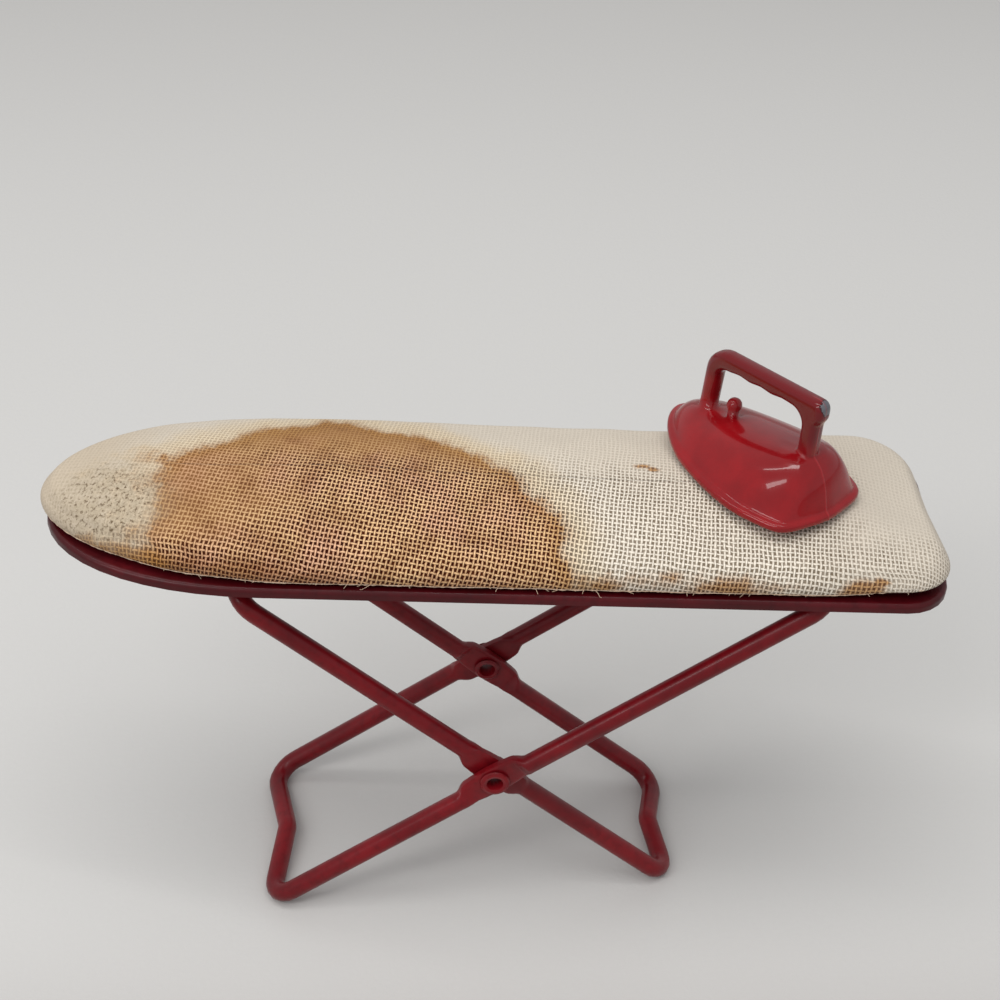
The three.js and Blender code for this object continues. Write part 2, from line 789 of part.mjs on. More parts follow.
// Finishes
const enamel = new THREE.MeshStandardMaterial({ color: 0x6e1118, roughness: 0.3, metalness: 0.1 });
const ironEnamel = new THREE.MeshStandardMaterial({ color: 0xa5141c, roughness: 0.2, metalness: 0.1 });
const cloth = new THREE.MeshStandardMaterial({ color: 0xd9cfbd, roughness: 0.95, metalness: 0 });
const wadding = new THREE.MeshStandardMaterial({ color: 0xe6dfd0, roughness: 1, metalness: 0 });
const card = new THREE.MeshStandardMaterial({ color: 0x9b8561, roughness: 0.9, metalness: 0 });

function piece(name, geometry, material) {
  const mesh = new THREE.Mesh(geometry, material);
  mesh.name = name;
  return mesh;
}

// The board and all that is fixed to it or lies on it, leaning by the tilt
const board = new THREE.Group();
const rivetPlaces = [...clipRivetPlaces, ...trackRivetPlaces];
board.add(piece('tray', cut(trayGeometry(), ...rivetPlaces.map(rivetHole)), enamel));
board.add(piece('pad_cover', slanted(coverGeometry()), cloth));
board.add(piece('pad_filling', slanted(fillingGeometry()), wadding));
board.add(piece('pad_card', slanted(cardGeometry()), card));
board.add(piece('hinge_clip', clipGeometry(), enamel));
board.add(piece('slide_track', trackGeometry(), enamel));

const rivetTop = trayTop + seatGap;
const clipRivetFoot = trayUnderside - 2 * seatGap - clipSheet;
const trackRivetFoot = trayUnderside - 2 * seatGap - trackSheet;
clipRivetPlaces.forEach((x, i) => {
  const rivet = piece(`clip_rivet_${i + 1}`, rivetGeometry(clipRivetFoot, rivetTop), enamel);
  rivet.position.x = x;
  board.add(rivet);
});
trackRivetPlaces.forEach((x, i) => {
  const rivet = piece(`track_rivet_${i + 1}`, rivetGeometry(trackRivetFoot, rivetTop), enamel);
  rivet.position.x = x;
  board.add(rivet);
});

const ironHeelX = trayLength / 2 - ironHeelTailGap;
const iron = piece('iron', ironGeometry(), ironEnamel);
iron.position.set(ironHeelX, ironHeelY, padTop(ironHeelX, 1) + softGap);
iron.rotation.z = THREE.MathUtils.degToRad(ironHeading);
board.add(iron);

// The rivets' axis seen from the board, and the board set so that it meets the legs there
const pivotInBoard = new THREE.Vector3(
  hingePlace - outerUpperArm * Math.cos(legAngle),
  0,
  -hingeDrop - outerUpperArm * Math.sin(legAngle),
);
const pivot = new THREE.Vector3(0, 0, pivotHeight);
board.rotation.y = tilt;
board.position.copy(pivot).sub(pivotInBoard.applyEuler(board.rotation));

// The stand
const outerBlank = legGeometry(outerUpperArm, outerLowerArm, outerHalfWidth, -1);
const outerLeg = piece(
  'outer_leg',
  cut(outerBlank, legHole(outerHalfWidth), floorBlock(outerTurn)),
  enamel,
);
outerLeg.position.copy(pivot);
outerLeg.rotation.y = outerTurn;

const innerBlank = legGeometry(innerUpperArm, innerLowerArm, innerHalfWidth, 1);
const innerLeg = piece(
  'inner_leg',
  cut(innerBlank, legHole(innerHalfWidth), floorBlock(innerTurn)),
  enamel,
);
innerLeg.position.copy(pivot);
innerLeg.rotation.y = innerTurn;

const farRivet = piece('leg_rivet_far', eyeletGeometry(), enamel);
farRivet.position.copy(pivot);
const nearRivet = piece('leg_rivet_near', eyeletGeometry(), enamel);
nearRivet.position.copy(pivot);
nearRivet.rotation.x = Math.PI;

// The whole, centred over the origin of its footprint
const ironingBoard = new THREE.Group();
ironingBoard.add(board, outerLeg, innerLeg, farRivet, nearRivet);
ironingBoard.updateMatrixWorld(true);
const centre = new THREE.Box3().setFromObject(ironingBoard, true).getCenter(new THREE.Vector3());
ironingBoard.position.x = -centre.x;

export default ironingBoard;
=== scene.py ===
"""A doll's house ironing board.

A stained cloth pad lies on a red tin tray over crossed wire legs, with a toy iron on it.
"""

import json
import math

import bpy
import numpy as np
from mathutils import Matrix, Vector
from mathutils import noise as perlin


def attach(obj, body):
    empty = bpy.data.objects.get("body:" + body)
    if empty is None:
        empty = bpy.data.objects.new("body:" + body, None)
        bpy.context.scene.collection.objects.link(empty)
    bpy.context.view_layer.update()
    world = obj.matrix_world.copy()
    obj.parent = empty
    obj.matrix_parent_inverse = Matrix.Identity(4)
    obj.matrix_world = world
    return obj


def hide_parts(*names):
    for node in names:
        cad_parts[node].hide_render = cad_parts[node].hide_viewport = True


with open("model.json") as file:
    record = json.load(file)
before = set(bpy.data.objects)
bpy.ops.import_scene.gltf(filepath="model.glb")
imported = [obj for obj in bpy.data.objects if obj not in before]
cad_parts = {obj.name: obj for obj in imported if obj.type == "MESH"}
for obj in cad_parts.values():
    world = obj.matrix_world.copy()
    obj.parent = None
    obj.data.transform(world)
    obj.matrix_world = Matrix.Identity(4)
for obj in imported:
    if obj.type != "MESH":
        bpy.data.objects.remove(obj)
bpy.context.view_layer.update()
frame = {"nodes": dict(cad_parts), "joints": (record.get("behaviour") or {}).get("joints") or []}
nodes = frame["nodes"]
joints = {joint["name"]: joint for joint in frame["joints"]}
scene = bpy.context.scene
MM = 0.001
# Simulating and remeshing work at ten times the size: metres for each millimetre.
ENLARGED = 0.01

# The camera, in millimetres and degrees, as fitted to the photograph.
IMAGE_SIDE = 1000
SENSOR_WIDTH = 36
FOCAL_PIXELS = 2430
YAW, PITCH, ROLL = -3.91, 38.0, 1.64
CAMERA_OFFSET = (-2.17, 47.74, 347.35)
FIT_SHIFT = (0.1685, 0.0, 0.1925)

# The board's own frame: along it to the tail, across it and up from its face.
HINGE_PLACE, HINGE_DROP = 42.0, 1.1
UP = Vector(joints["iron_lift"]["axis"]).normalized()
ACROSS = Vector((0.0, 1.0, 0.0))
ALONG = ACROSS.cross(UP)
ORIGIN = Vector(joints["leg_fold"]["pos_m"]) - HINGE_PLACE * MM * ALONG + HINGE_DROP * MM * UP

# The pad, in millimetres.
PAD_NOSE_END = -57.8
PAD_LENGTH, PAD_WIDTH, PAD_NOSE_LENGTH, PAD_TAIL_RADIUS = 113.8, 31.0, 30.0, 7.5
PAD_FULLNESS = 1.85
PAD_SLANT, PAD_FAR_SLANT, PAD_SLANT_LENGTH = 2.0, 0.85, 26.0
PAD_FOOT, PAD_SIDE, PAD_CROWN = 1.6, 3.5, 2.9
PAD_HUMP, PAD_HUMP_PLACE, PAD_HUMP_SPREAD = 0.9, -25.0, 20.0
PAD_CROWN_POWER = 1.8
PAD_EDGE = PAD_FOOT + PAD_SIDE
CLOTH = 0.45
HEM_INSET, HEM_WIDTH = 0.5, 4.0
TAIL_CURL = 0.8
# Rows of the skin. On the sides: how far in, in hem insets, and how high, as a share of the side.
# On the crown: the share of the way to the spine. Then the steps from each row to the next.
SIDE_SHARES = ((1.9, 0), (1.75, 0.1), (0.5, 0.18), (0.12, 0.25), (0, 0.45), (0.45, 0.68), (1.5, 0.88))
CROWN_SHARES = (0.1, 0.2, 0.34, 0.52, 0.75, 1)
STEPS_PER_ROW = (2, 2, 2, 2, 2, 2, 2, 2, 3, 4, 5, 5)
HEM_ROW, EDGE_ROW, TOP_ROW = 6, 14, 16
OUTLINE_SPACING = 0.85

# How the stuffed skin swells: steps of the simulation, and the furthest that a point may move.
SWELL_STEPS, SWELL_MOST = 14, 0.3

# The weave: threads for each millimetre along and across, and a start that keeps counts above nought.
THREADS_ALONG, THREADS_ACROSS, THREADS_START = 1.86, 1.45, 300
# Each set of threads: half its width as a share of the spacing, and how high it lies.
FIRST_THREADS, SECOND_THREADS = (0.255, 0.66), (0.205, 0.54)

# The hem's cord and its loose threads, which hang over the tray's rim and never into it.
CORD_RADIUS, CORD_UNEVEN = 0.095, 0.06
LOOSE_THREADS, THREAD_SEED, THREAD_LOWEST = 34, 7, 1.42

# The iron's place on the board, in millimetres and degrees.
IRON_HEEL = (40.8, -8.2)
IRON_HEADING = 126.0
IRON_GAP = 0.3
# Its casting: the grain of the remeshing, how often the body is polished and its shine evened, and
# how far the heel's corners stand out and, as a share, to the sides.
IRON_VOXEL = 0.0016
IRON_POLISHES, IRON_EVENINGS = 45, 160
HEEL_CORNER_OUT, HEEL_CORNER_WIDER = 0.35, 0.045

# The bare chip on the knuckle at the heel end of the handle, in the iron's own millimetres.
CHIP_PLACE = (3.7, -0.3, 15.3)


def colour(red, green, blue):
    """A colour picked as eight-bit sRGB, as Blender wants it."""
    shares = np.array((red, green, blue)) / 255
    linear = np.where(shares <= 0.04045, shares / 12.92, ((shares + 0.055) / 1.055) ** 2.4)
    return (*(float(v) for v in linear), 1.0)


def to_world(points):
    """Board points in millimetres as points in metres in the frame."""
    axes = np.array([ALONG, ACROSS, UP])
    return np.array(ORIGIN) + np.asarray(points, float) @ axes * MM


def smoothstep(values, low, high):
    """A soft step from 0 to 1 between two values."""
    share = np.clip((values - low) / (high - low), 0, 1)
    return share * share * (3 - 2 * share)


def new_piece(name, points, faces, material, body):
    """A smooth-shaded mesh object, which rides a body if one is named."""
    mesh = bpy.data.meshes.new(name)
    mesh.from_pydata([tuple(p) for p in points], [], faces)
    mesh.update()
    mesh.shade_smooth()
    piece = bpy.data.objects.new(name, mesh)
    scene.collection.objects.link(piece)
    if material:
        mesh.materials.append(material)
    if body:
        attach(piece, body)
    return piece


# ---- Materials
class Nodes:
    """A material and short ways to add nodes to it."""

    def __init__(self, name):
        self.material = bpy.data.materials.new(name)
        self.material.use_nodes = True
        self.tree = self.material.node_tree
        self.shader = self.tree.nodes["Principled BSDF"]

    def add(self, kind, inputs=None, **settings):
        node = self.tree.nodes.new(kind)
        for key, value in settings.items():
            setattr(node, key, value)
        for key, value in (inputs or {}).items():
            self.put(node.inputs[key], value)
        return node

    def put(self, socket, value):
        if isinstance(value, bpy.types.NodeSocket):
            self.tree.links.new(value, socket)
        else:
            socket.default_value = value

    def shade(self, **values):
        for key, value in values.items():
            self.put(self.shader.inputs[key.replace("_", " ")], value)

    def math(self, operation, *values, clamp=False):
        node = self.add("ShaderNodeMath", operation=operation, use_clamp=clamp)
        for socket, value in zip(node.inputs, values):
            self.put(socket, value)
        return node.outputs[0]

    def plus(self, first, second, clamp=False):
        return self.math("ADD", first, second, clamp=clamp)

    def minus(self, first, second):
        return self.math("SUBTRACT", first, second)

    def times(self, first, second, clamp=False):
        return self.math("MULTIPLY", first, second, clamp=clamp)

    def remap(self, value, low, high, to_low=0.0, to_high=1.0, smooth=True):
        kind = "SMOOTHSTEP" if smooth else "LINEAR"
        inputs = {"Value": value, "From Min": low, "From Max": high}
        inputs |= {"To Min": to_low, "To Max": to_high}
        return self.add("ShaderNodeMapRange", inputs, interpolation_type=kind).outputs[0]

    def mix(self, factor, first, second, blend="MIX"):
        node = self.add("ShaderNodeMix", data_type="RGBA", blend_type=blend)
        self.put(node.inputs[0], factor)
        self.put(node.inputs[6], first)
        self.put(node.inputs[7], second)
        return node.outputs[2]

    def noise(self, vector, scale, detail=2.0, roughness=0.5, kind="Fac"):
        inputs = {"Vector": vector, "Scale": scale, "Detail": detail, "Roughness": roughness}
        return self.add("ShaderNodeTexNoise", inputs).outputs[kind]

    def wander(self, vector, scale, detail, roughness, width):
        """Noise about nought, of that width in all."""
        return self.times(self.minus(self.noise(vector, scale, detail, roughness), 0.5), width)

    def object_place(self):
        return self.add("ShaderNodeTexCoord").outputs["Object"]

    def attribute(self, name, kind="Fac"):
        return self.add("ShaderNodeAttribute", attribute_name=name).outputs[kind]

    def bump(self, height, distance, strength):
        inputs = {"Height": height, "Distance": distance, "Strength": strength}
        return self.add("ShaderNodeBump", inputs).outputs[0]


def enamel_material(name, thin, thick, deep, gloss):
    """Baked enamel on tin and wire: uneven in depth, dulled in places, with a few bare chips."""
    m = Nodes(name)
    place = m.object_place()
    cloud = m.noise(place, 90, 3)
    fine = m.noise(place, 900, 2)
    base = m.mix(m.remap(cloud, 0.35, 0.65), thick, thin)
    base = m.mix(m.remap(fine, 0.4, 0.75, 0, 0.4), base, deep)
    chips = m.remap(m.noise(place, 520, 4, 0.7), 0.75, 0.765)
    base = m.mix(chips, base, colour(58, 32, 32))
    roughness = m.remap(m.noise(place, 160, 3), 0.3, 0.75, 0.28, 0.42)
    orange_peel = m.bump(m.noise(place, 600, 2), 0.00003, 0.4)
    m.shade(Base_Color=base, Roughness=roughness, Normal=orange_peel, Specular_IOR_Level=0.26)
    m.shade(Coat_Weight=gloss, Coat_Roughness=0.1)
    return m.material


def iron_material():
    """Bright red glossy enamel on a casting: a mould seam, a chip of bare metal, specks of wear, and
    painted shade in its creases, over its top and on its handle.
    """
    m = Nodes("bright_red_enamel")
    local = m.attribute("iron_place", "Vector")
    split = m.add("ShaderNodeSeparateXYZ", {"Vector": local})
    along, across, above = split.outputs
    base = m.mix(m.remap(m.noise(local, 0.3, 2), 0.3, 0.7), colour(126, 8, 15), colour(138, 11, 18))
    # Painted shade in the creases where forms meet, which also stands for enamel pooled thick and dark
    # there; it lies thin over the edges.
    hollow = m.add("ShaderNodeNewGeometry").outputs["Pointiness"]
    base = m.mix(m.remap(hollow, 0.49, 0.43, 0, 0.75), base, colour(96, 6, 12))
    base = m.mix(m.remap(m.noise(local, 2.2, 3), 0.45, 0.8, 0, 0.3), base, colour(122, 8, 14))
    # Painted shade: the enamel is painted darker over the top and on the handle.
    base = m.mix(m.remap(above, 4.5, 7.5, 0, 0.4), base, colour(108, 7, 13))
    base = m.mix(m.remap(above, 8.0, 11.0, 0, 0.9), base, colour(97, 4, 11))
    away = m.add("ShaderNodeVectorMath", {0: local, 1: CHIP_PLACE}, operation="DISTANCE")
    ragged = m.plus(away.outputs["Value"], m.times(m.noise(local, 2.5, 3), 0.9))
    chip = m.remap(ragged, 1.5, 1.4)
    rim = m.math("SUBTRACT", m.remap(ragged, 1.75, 1.5), chip, clamp=True)
    specks = m.remap(m.noise(local, 1.9, 3, 0.6), 0.75, 0.77)
    specks = m.times(specks, m.remap(above, 10.0, 13.0))
    base = m.mix(rim, base, colour(46, 14, 18))
    base = m.mix(specks, base, colour(60, 24, 28))
    base = m.mix(chip, base, colour(116, 116, 122))
    seam = m.remap(m.math("ABSOLUTE", m.minus(across, 0.05)), 0.2, 0.02)
    seam = m.times(seam, m.remap(along, 6.6, 5.6))
    base = m.mix(m.times(seam, 0.25), base, colour(186, 52, 56))
    height = m.plus(m.times(seam, 0.07), m.times(m.noise(local, 0.5, 1), 0.03))
    height = m.minus(height, m.times(chip, 0.12))
    m.shade(Base_Color=base, Metallic=m.times(chip, 0.8))
    m.shade(Roughness=m.remap(chip, 0, 1, 0.24, 0.45), Normal=m.bump(height, MM, 0.6))
    m.shade(Specular_IOR_Level=0.15, Coat_Weight=0.55, Coat_Roughness=0.05)
    return m.material


def shifted(m, vector, amount, scale, detail):
    """A vector moved about by noise."""
    drift = m.noise(vector, scale, detail, 0.5, "Color")
    drift = m.add("ShaderNodeVectorMath", {0: drift, 1: (0.5,) * 3}, operation="SUBTRACT").outputs[0]
    drift = m.add("ShaderNodeVectorMath", {0: drift, "Scale": amount}, operation="SCALE").outputs[0]
    return m.add("ShaderNodeVectorMath", {0: vector, 1: drift}, operation="ADD").outputs[0]


def weave(m):
    """A plain weave from the thread counts in the UV map.

    Gives the counts, the height, the painted light and shade across each thread and a value for each
    hole.
    """
    counts = m.add("ShaderNodeUVMap", uv_map="weave").outputs[0]
    moved = shifted(m, shifted(m, counts, 1.2, 0.12, 2), 0.42, 0.9, 2)
    split = m.add("ShaderNodeSeparateXYZ", {"Vector": moved})
    first, second = split.outputs[0], split.outputs[1]
    hole_of = {i: m.math("FLOOR", m.plus(count, 0.5)) for i, count in enumerate((first, second))}
    cell = m.add("ShaderNodeCombineXYZ", hole_of).outputs[0]
    chance = m.add("ShaderNodeTexWhiteNoise", {"Vector": cell}).outputs["Value"]
    sides, tones = [], []
    for here, there, turn, (half_width, level) in (
        (first, second, 1.0, FIRST_THREADS),
        (second, first, -1.0, SECOND_THREADS),
    ):
        thread = {0: m.times(m.math("FLOOR", here), 7.3), 1: m.times(there, 0.35)}
        slub = m.wander(m.add("ShaderNodeCombineXYZ", thread).outputs[0], 1.0, 2, 0.5, 0.34)
        off = m.math("ABSOLUTE", m.minus(m.math("FRACT", here), 0.5))
        cover = m.remap(m.minus(off, m.plus(slub, half_width)), 0.09, -0.06)
        # Over one thread and under the next.
        parity = m.math("SIGN", m.math("SINE", m.times(here, math.pi)))
        swing = m.times(m.math("SINE", m.times(there, math.pi)), parity)
        lift = m.plus(level, m.times(swing, 0.26 * turn))
        fall = m.times(off, off)
        crown = m.minus(1.0, m.times(fall, 3.0))
        sides.append(m.times(m.times(cover, lift), crown))
        # Painted highlight and shade: each thread is painted lighter on its crown, darker to its sides
        # and darker where it dips under.
        roundness = m.minus(1.0, m.times(fall, 9.0))
        tones.append(m.times(roundness, m.plus(0.86, m.times(swing, 0.14 * turn))))
    over = m.remap(m.minus(sides[0], sides[1]), -0.06, 0.06)
    thread_light = m.plus(m.times(tones[0], over), m.times(tones[1], m.minus(1.0, over)))
    return moved, m.math("SMOOTH_MAX", sides[0], sides[1], 0.06), thread_light, chance


def cloth_material():
    """Open plain-woven cotton with a large brown stain, tide marks and a felted, greyed nose, painted
    with highlight and shade on its threads and shade in its holes.
    """
    m = Nodes("stained_cloth")
    moved, height, thread_light, chance = weave(m)
    back, tip, nose, tail = (m.attribute(name) for name in ("back", "tip", "nose", "tail"))
    fibre = m.noise(moved, 4.5, 3, 0.75)
    fuzz = m.minus(fibre, 0.5)
    # Felted cloth shows its holes less.
    felt = m.plus(m.attribute("felt"), m.wander(moved, 0.16, 3, 0.5, 0.7), clamp=True)
    open_share = m.remap(felt, 0.1, 0.95, 1.0, 0.12)
    # Painted shade: the holes between threads are painted dark, for the wadding seen through them in
    # shade, brown where it lies under the stain.
    hole = m.minus(1.0, m.remap(m.plus(height, m.times(fuzz, 0.35)), 0.06, 0.5))
    hole_depth = m.times(open_share, m.remap(chance, 0, 1, 0.7, 1.15, False))
    hole = m.times(hole, hole_depth, clamp=True)
    # Painted highlight and shade: a thread is painted bright on its crown and darker to its sides and
    # where it dips.
    crown_light = m.remap(m.plus(thread_light, m.times(fuzz, 0.5)), 0.42, 1.08, 0, 1, False)

    def shaded_thread(flank, crest):
        return m.mix(crown_light, colour(*flank), colour(*crest))

    # Stained threads wick the brown a few threads further than their neighbours.
    inside = m.plus(m.attribute("stain"), m.wander(moved, 0.11, 5, 0.62, 6.5))
    inside = m.plus(inside, m.wander(moved, 0.8, 2, 0.5, 1.6))
    inside = m.plus(inside, m.wander(moved, 0.17, 5, 0.7, m.times(tip, 26.0)))
    stain = m.remap(m.times(inside, m.remap(tip, 0.02, 0.5, 1.0, 0.42)), -1.6, 1.6)
    unstained = m.minus(1.0, stain)
    marks = m.plus(m.attribute("marks"), m.wander(moved, 0.3, 4, 0.7, 1.2))
    marks = m.remap(marks, 0.25, 1.0)
    # Felted cloth also loses the painted light and shade of its threads.
    even = m.times(felt, m.remap(stain, 0, 1, 0.8, 0.6, False))

    patch = m.noise(moved, 0.07, 3)
    # The clean threads' crest colours are their painted highlight, their flank colours their painted
    # shade.
    clean_crest = m.mix(patch, colour(246, 236, 220), colour(254, 246, 232))
    clean = m.mix(crown_light, colour(188, 175, 158), clean_crest)
    clean = m.mix(even, clean, colour(197, 187, 172))
    clean = m.mix(m.times(tail, 0.6), clean, colour(198, 188, 174))
    # The holes' painted shade over the pale wadding.
    clean_hole = m.mix(patch, colour(112, 98, 80), colour(132, 119, 101))

    golden = m.remap(m.noise(moved, 0.055, 4, 0.6), 0.36, 0.6)
    # The crest colours are the brown threads' painted highlight, the flank colours their painted shade.
    crest = m.mix(golden, colour(252, 203, 166), colour(254, 214, 162))
    crest = m.mix(back, crest, colour(176, 134, 88))
    flank = m.mix(golden, colour(120, 68, 28), colour(126, 78, 26))
    flank = m.mix(back, flank, colour(130, 86, 40))
    flank = m.mix(m.remap(back, 0.0, 0.35, 1.0, 0.0), flank, colour(104, 48, 18))
    brown = m.mix(crown_light, flank, crest)
    brown = m.mix(even, brown, colour(156, 115, 73))
    mottle = m.remap(m.noise(moved, 0.13, 4, 0.6), 0.42, 0.7, 0, 0.65)
    deep = m.plus(m.attribute("deep"), m.wander(moved, 0.22, 4, 0.65, 0.8))
    deep = m.math("MAXIMUM", mottle, m.remap(deep, 0.15, 0.95))
    brown = m.mix(m.times(deep, 0.72), brown, shaded_thread((84, 42, 14), (156, 104, 60)))
    # The holes' painted shade over the stained wadding.
    brown_hole = m.mix(golden, colour(46, 5, 0), colour(54, 14, 0))
    brown_hole = m.mix(m.times(back, 0.9), brown_hole, colour(104, 68, 34))
    # A browner tide line where the stain stopped.
    tide = m.times(m.remap(inside, -1.2, 0.6), m.remap(inside, 4.0, 1.0))
    brown = m.mix(m.times(tide, 0.5), brown, shaded_thread((126, 84, 40), (192, 146, 84)))

    light = m.mix(stain, clean, brown)
    dark = m.mix(stain, clean_hole, brown_hole)
    # Damp crept a little further than the brown and left the threads yellowed.
    yellowed = m.times(m.remap(inside, -6.0, -0.5), unstained)
    light = m.mix(m.times(yellowed, 0.5), light, shaded_thread((168, 138, 92), (240, 216, 170)))
    light = m.mix(m.times(marks, 0.85), light, shaded_thread((110, 66, 26), (196, 144, 78)))
    dark = m.mix(marks, dark, colour(84, 48, 18))
    # The nose is rubbed dull, greyed and specked.
    dulled = m.times(m.times(tip, unstained), m.remap(marks, 0, 1, 0.72, 0.1))
    light = m.mix(dulled, light, colour(186, 170, 148))
    grey_patch = m.remap(m.noise(moved, 0.35, 4, 0.7), 0.35, 0.65, 0.3, 0.9)
    light = m.mix(m.times(m.remap(nose, 0.1, 0.9), grey_patch), light, colour(174, 160, 138))
    speck = m.remap(m.noise(moved, 1.25, 4, 0.7), 0.5, 0.66)
    speck = m.times(speck, m.remap(nose, 0.1, 0.8))
    light = m.mix(m.times(speck, 0.95), light, colour(92, 74, 52))

    base = m.mix(hole, light, dark)
    shaded = m.mix(1.0, base, colour(200, 188, 172), "MULTIPLY")
    base = m.mix(m.remap(fibre, 0.35, 0.75, 0, 0.3), base, shaded)
    # Painted shade: the side tucked under the hem, over the tray's ledge, is painted dark brown.
    base = m.mix(m.attribute("under"), base, colour(84, 44, 38))
    relief = m.plus(m.times(height, open_share), m.times(fibre, 0.22))
    m.shade(Base_Color=base, Roughness=0.93, Normal=m.bump(relief, 0.00022, 0.9))
    m.shade(Sheen_Weight=0.04, Sheen_Roughness=0.5, Specular_IOR_Level=0.08)
    return m.material


def soft_material(name, light, dark, scale):
    """A dull fibrous material in clouds of two tones."""
    m = Nodes(name)
    place = m.object_place()
    cloud = m.noise(place, scale, 5, 0.65)
    m.shade(Base_Color=m.mix(cloud, light, dark), Roughness=0.95, Normal=m.bump(cloud, 0.0003, 0.6))
    return m.material


# Enamels are given where it lies thin, where it lies thick and at its deepest, with its gloss.
ENAMEL = enamel_material(
    "dark_red_enamel", colour(120, 13, 22), colour(101, 9, 18), colour(76, 7, 13), 0.02
)
# The tray's enamel is a darker copy of the red: painted shade for the tray, which lies in shade under
# the pad.
SHADED_TRAY_ENAMEL = enamel_material(
    "shaded_tray_enamel", colour(80, 10, 18), colour(66, 8, 14), colour(46, 6, 10), 0.04
)
CLOTH_FINISH = cloth_material()
IRON_FINISH = iron_material()
WADDING = soft_material("cotton_wadding", colour(232, 226, 212), colour(206, 198, 182), 700)
CARD = soft_material("grey_card", colour(156, 134, 98), colour(132, 110, 78), 1500)
THREAD = soft_material("loose_thread", colour(226, 204, 180), colour(186, 152, 126), 420)


# ---- The CAD nodes that stay: enamelled tin and wire
SHARP_EDGE = 32


def dress(name, material):
    """Gives a CAD node its finish and smooth shading between its sharp edges."""
    node = nodes[name]
    mesh = node.data
    if "custom_normal" in mesh.attributes:
        mesh.attributes.remove(mesh.attributes["custom_normal"])
    mesh.shade_smooth()
    mesh.materials.clear()
    mesh.materials.append(material)
    weld = node.modifiers.new("weld", "WELD")
    weld.merge_threshold = 1e-7
    split = node.modifiers.new("edges", "EDGE_SPLIT")
    split.split_angle = math.radians(SHARP_EDGE)


for name in nodes:
    if name in ("pad_cover", "iron"):
        continue
    finish = {"pad_filling": WADDING, "pad_card": CARD, "tray": SHADED_TRAY_ENAMEL}.get(name, ENAMEL)
    dress(name, finish)


# ---- The pad's cloth cover
def pad_top(along, share):
    """How high the pad's top lies, at a share of the way from its edge to its spine."""
    hump = PAD_HUMP * np.exp(-(((along - PAD_HUMP_PLACE) / PAD_HUMP_SPREAD) ** 2))
    return PAD_EDGE + (PAD_CROWN + hump) * (1 - (1 - share) ** PAD_CROWN_POWER)


def resampled(line, spacing):
    """A closed line with points at an even spacing, starting where it starts."""
    closed = np.vstack([line, line[:1]])
    steps = np.linalg.norm(np.diff(closed, axis=0), axis=1)
    reach = np.concatenate([[0], np.cumsum(steps)])
    count = 2 * round(reach[-1] / spacing / 2)
    wanted = np.linspace(0, reach[-1], count, endpoint=False)
    return np.stack([np.interp(wanted, reach, closed[:, i]) for i in range(2)], axis=1)


def pad_outline():
    """The pad's outline from above: a rounded nose, straight sides and a tail with round corners."""
    half = PAD_WIDTH / 2
    tail = PAD_NOSE_END + PAD_LENGTH
    nose_base = PAD_NOSE_END + PAD_NOSE_LENGTH
    turn = np.linspace(0, math.pi / 2, 60)
    corner_x = tail - PAD_TAIL_RADIUS + PAD_TAIL_RADIUS * np.cos(turn)
    corner_y = half - PAD_TAIL_RADIUS + PAD_TAIL_RADIUS * np.sin(turn)
    power = 2 / PAD_FULLNESS
    nose_x = nose_base - PAD_NOSE_LENGTH * np.sin(turn) ** power
    nose_y = half * np.abs(np.cos(turn)) ** power
    upper = np.vstack([np.stack([corner_x, corner_y], axis=1), np.stack([nose_x, nose_y], axis=1)])
    lower = upper[::-1] * (1, -1)
    return resampled(np.vstack([upper, lower[1:]]), OUTLINE_SPACING)


def catmull(rows, per_row):
    """Rows of points joined smoothly, with so many steps from each row to the next."""
    padded = np.concatenate([[2 * rows[0] - rows[1]], rows, [2 * rows[-1] - rows[-2]]])
    made = []
    for i in range(len(rows) - 1):
        a, b, c, d = padded[i : i + 4]
        for step in range(per_row[i]):
            t = step / per_row[i]
            bend, twist = 2 * a - 5 * b + 4 * c - d, 3 * b - a - 3 * c + d
            made.append(0.5 * (2 * b + (c - a) * t + bend * t**2 + twist * t**3))
    made.append(rows[-1])
    return np.array(made)


def pad_rows():
    """Rows of points on the pad's outside in board coordinates, and the way inward from its outline."""
    outline = pad_outline()
    count = len(outline)
    ahead, back = np.roll(outline, -1, axis=0), np.roll(outline, 1, axis=0)
    way = ahead - back
    way /= np.linalg.norm(way, axis=1, keepdims=True)
    inward = np.stack([-way[:, 1], way[:, 0]], axis=1)
    if np.sum(inward[:, 1] * outline[:, 1]) > 0:
        inward = -inward
    tail = PAD_NOSE_END + PAD_LENGTH
    spine_x = np.clip(outline[:, 0], PAD_NOSE_END + PAD_WIDTH / 2, tail - PAD_WIDTH / 2)
    spine = np.stack([spine_x, np.zeros(count)], axis=1)

    def row(inset, share, height):
        place = outline + inward * inset
        place = place + (spine - place) * share
        level = height(place[:, 0]) if callable(height) else np.full(count, height)
        return np.column_stack([place, level])

    sides = [row(HEM_INSET * inset, 0, PAD_FOOT + PAD_SIDE * rise) for inset, rise in SIDE_SHARES]
    crown = [row(0, share, lambda x, share=share: pad_top(x, share)) for share in CROWN_SHARES]
    rows = catmull(np.array(sides + crown), STEPS_PER_ROW)
    hem = [row(HEM_INSET + width, 0, PAD_FOOT) for width in (HEM_WIDTH, HEM_WIDTH / 2)]
    rows = np.concatenate([hem, rows])
    # The tail is cut at a slant, and less so at its far corner.
    ramp = np.maximum(rows[..., 0] - (tail - PAD_SLANT_LENGTH), 0) / PAD_SLANT_LENGTH
    slant = np.where(rows[..., 1] > 0, PAD_FAR_SLANT, PAD_SLANT)
    rows[..., 0] -= slant * ramp * rows[..., 1] / (PAD_WIDTH / 2)
    return rows, inward


